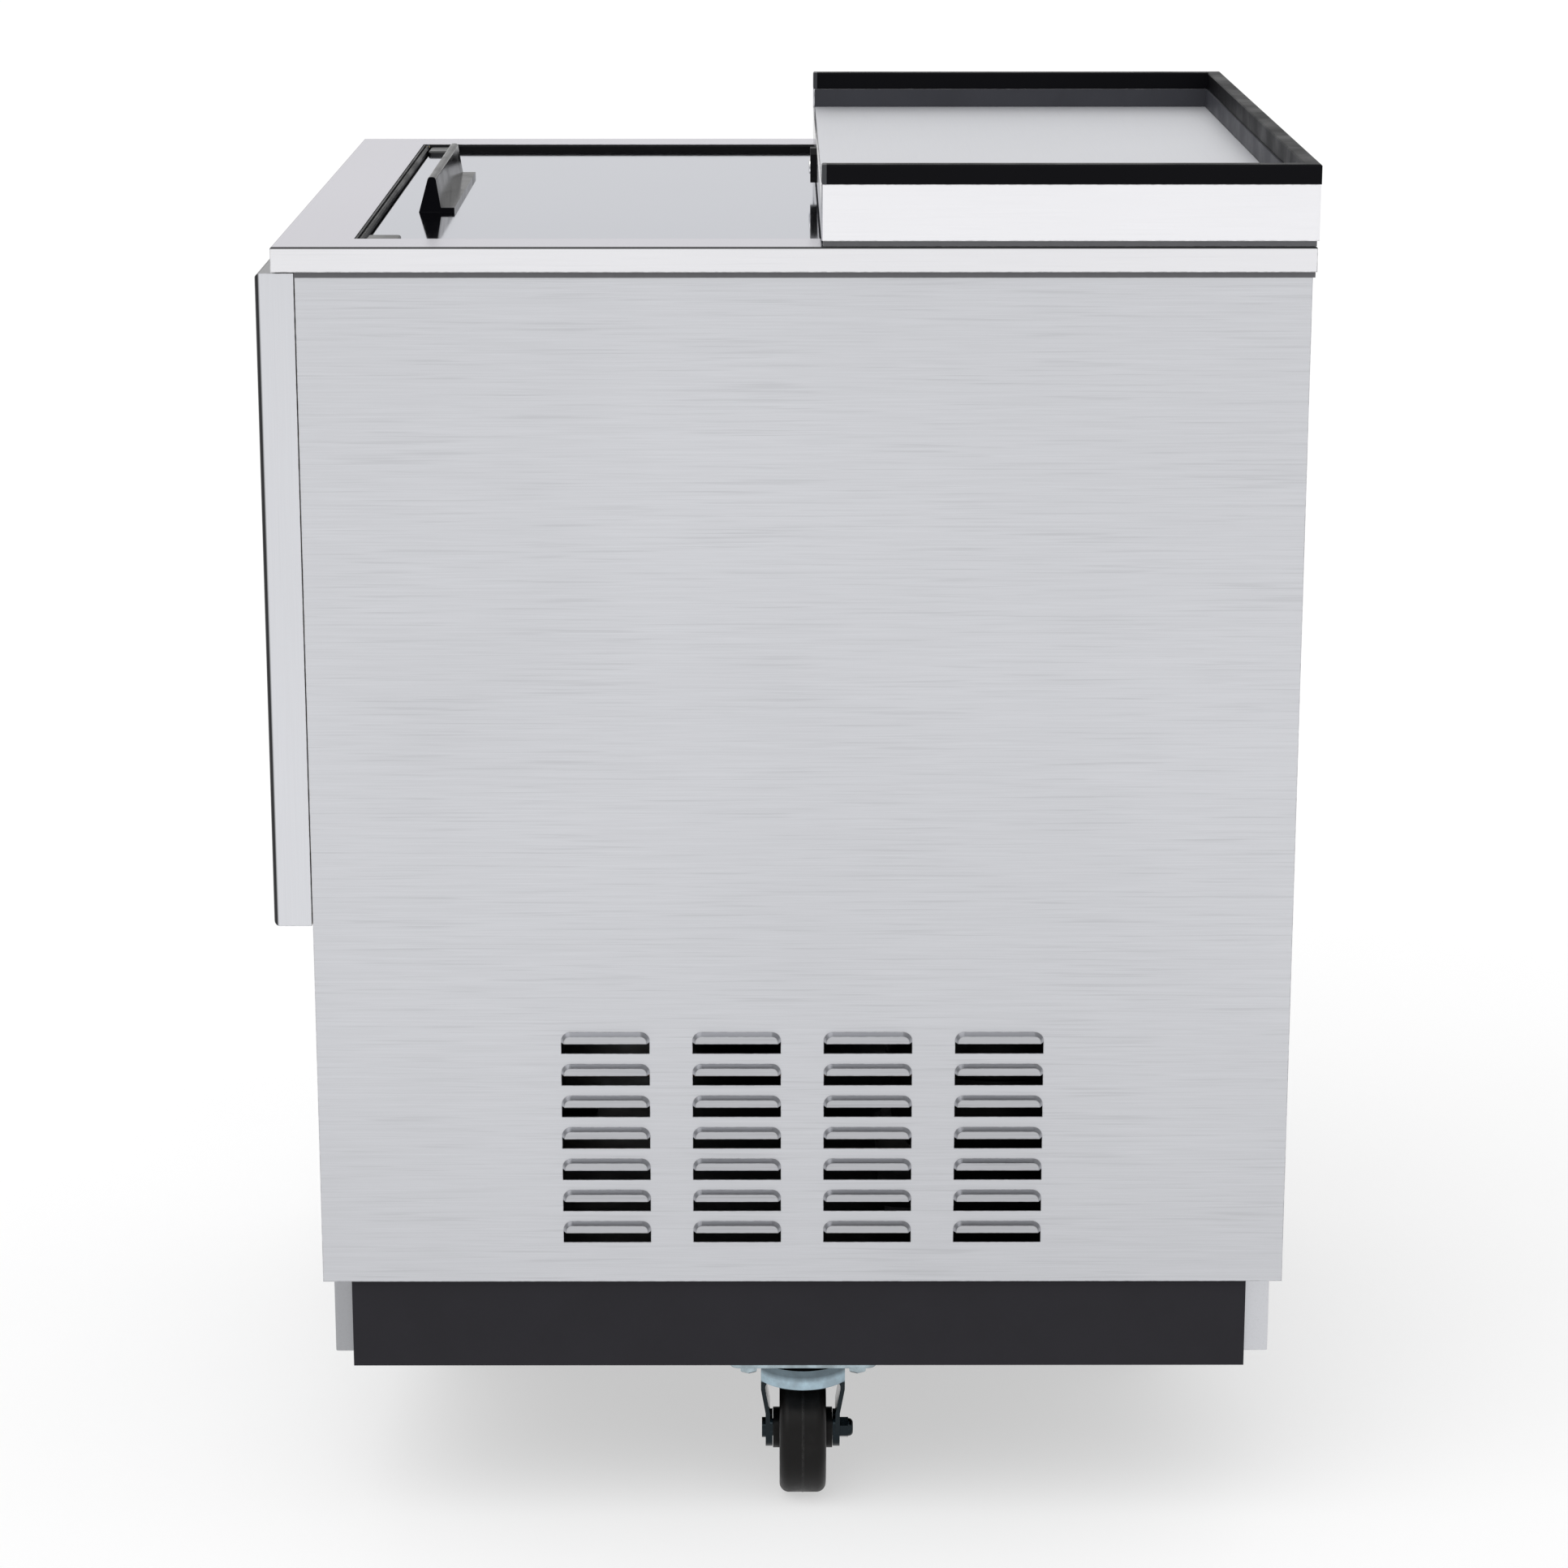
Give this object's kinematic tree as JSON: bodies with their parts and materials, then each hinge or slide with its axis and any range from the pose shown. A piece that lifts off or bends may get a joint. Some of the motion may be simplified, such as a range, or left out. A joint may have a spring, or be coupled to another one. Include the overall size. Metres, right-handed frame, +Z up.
{
  "type": "slide-top chest freezer",
  "caption": "Stainless slide-top chest freezer with a lid that slides under a raised rear tray, louvred machine compartment, dark base skirt and swivel casters.",
  "frame": {"origin": "on the floor, under the middle of the overall box", "axes": "+Z up; +X towards the user's right; -Y is the front, where the user stands"},
  "size_m": [0.62, 0.675, 0.927],
  "materials": {
    "brushed_stainless": "satin",
    "bright_stainless": "polished",
    "lid_stainless": "polished",
    "tray_stainless": "satin",
    "tub_stainless": "satin",
    "galvanised_steel": "satin",
    "kick_steel": "satin",
    "dark_painted_steel": "satin",
    "zinc_plated": "satin",
    "caster_tread": "satin",
    "handle_plastic": "gloss",
    "black_plastic": "satin",
    "rail_black": "satin",
    "grey_plastic": "satin",
    "white_plastic": "satin",
    "seal_rubber": "matte",
    "insulation": "matte",
    "lock_chrome": "polished",
    "coated_wire": "satin",
    "fin_aluminium": "satin",
    "motor_black": "satin",
    "copper": "satin"
  },
  "bodies": {
    "cabinet": {"base_frame": "dark_painted_steel", "bin_dividers": "coated_wire", "bottom_pan": "motor_black", "cable_gland": "black_plastic", "caster_bolts": "zinc_plated", "caster_plates": "zinc_plated", "compartment_ceiling": "galvanised_steel", "compressor": "motor_black", "compressor_grommets": "seal_rubber", "condenser_coil": "fin_aluminium", "condenser_fan_motor": "motor_black", "condenser_shroud": "motor_black", "deck_gaskets": "seal_rubber", "deck_top": "bright_stainless", "drain_pipe": "grey_plastic", "electrical_box": "black_plastic", "evaporator_coil": "fin_aluminium", "evaporator_cover": "tub_stainless", "evaporator_fan_motor": "motor_black", "floor_rack": "coated_wire", "foam_insulation": "insulation", "front_apron": "brushed_stainless", "front_grille": "brushed_stainless", "inner_tub": "tub_stainless", "kick_strips": "kick_steel", "lid_tracks": "black_plastic", "lock_barrel": "black_plastic", "panel_screws": "zinc_plated", "rail_end_plugs": "grey_plastic", "rear_bulkhead": "white_plastic", "rear_grille": "galvanised_steel", "rear_housing": "bright_stainless", "rear_panel": "galvanised_steel", "refrigerant_lines": "copper", "side_panel_left": "brushed_stainless", "side_panel_right": "brushed_stainless", "skirts": "dark_painted_steel", "temperature_controller": "black_plastic", "track_front_trim": "black_plastic", "tray": "tray_stainless", "tray_rails": "rail_black", "tray_skirting": "black_plastic"},
    "lid": {"lid_outer_skin": "lid_stainless", "lid_core": "insulation", "lid_inner_skin": "white_plastic", "lid_runners": "black_plastic", "lid_handle": "handle_plastic", "lid_corner_caps": "black_plastic", "lid_strike": "zinc_plated"},
    "lock_plug": {"lock_cylinder": "lock_chrome"},
    "condenser_fan": {"condenser_fan_blade": "grey_plastic"},
    "evaporator_fan": {"evaporator_fan_blade": "grey_plastic"},
    "caster_fork_right": {"fork_right": "zinc_plated"},
    "caster_wheel_right": {"wheel_right": "caster_tread"},
    "caster_fork_left": {"fork_left": "zinc_plated"},
    "caster_wheel_left": {"wheel_left": "caster_tread"},
    "caster_fork_front": {"fork_front": "zinc_plated"},
    "caster_wheel_front": {"wheel_front": "caster_tread"},
    "caster_fork_rear": {"fork_rear": "zinc_plated"},
    "caster_wheel_rear": {"wheel_rear": "caster_tread"}
  },
  "joints": [
    {"name": "lid_slide", "type": "slide", "parent": "cabinet", "child": "lid", "axis": [0, 1, 0], "range_m": [0, 0.24]},
    {"name": "lock_turn", "type": "hinge", "parent": "cabinet", "child": "lock_plug", "pos_m": [0, 0.0227, 0.89], "axis": [0, 1, 0], "range_deg": [0, 90]},
    {"name": "swivel_right", "type": "hinge", "parent": "cabinet", "child": "caster_fork_right", "pos_m": [0.267, 0.012, 0.1], "axis": [0, 0, 1], "continuous": true},
    {"name": "spin_right", "type": "hinge", "parent": "caster_fork_right", "child": "caster_wheel_right", "pos_m": [0.247, 0.012, 0.04445], "axis": [0, 1, 0], "continuous": true},
    {"name": "swivel_left", "type": "hinge", "parent": "cabinet", "child": "caster_fork_left", "pos_m": [-0.267, 0.012, 0.1], "axis": [0, 0, 1], "continuous": true},
    {"name": "spin_left", "type": "hinge", "parent": "caster_fork_left", "child": "caster_wheel_left", "pos_m": [-0.247, 0.012, 0.04445], "axis": [0, 1, 0], "continuous": true},
    {"name": "swivel_front", "type": "hinge", "parent": "cabinet", "child": "caster_fork_front", "pos_m": [0, -0.257, 0.1], "axis": [0, 0, 1], "continuous": true},
    {"name": "spin_front", "type": "hinge", "parent": "caster_fork_front", "child": "caster_wheel_front", "pos_m": [0, -0.237, 0.04445], "axis": [1, 0, 0], "continuous": true},
    {"name": "swivel_rear", "type": "hinge", "parent": "cabinet", "child": "caster_fork_rear", "pos_m": [0, 0.275, 0.1], "axis": [0, 0, 1], "continuous": true},
    {"name": "spin_rear", "type": "hinge", "parent": "caster_fork_rear", "child": "caster_wheel_rear", "pos_m": [0, 0.255, 0.04445], "axis": [1, 0, 0], "continuous": true},
    {"name": "condenser_fan_spin", "type": "hinge", "parent": "cabinet", "child": "condenser_fan", "pos_m": [-0.06, -0.218, 0.292], "axis": [0, 1, 0], "continuous": true},
    {"name": "evaporator_fan_spin", "type": "hinge", "parent": "cabinet", "child": "evaporator_fan", "pos_m": [0, 0.18, 0.64], "axis": [0, 1, 0], "continuous": true}
  ]
}
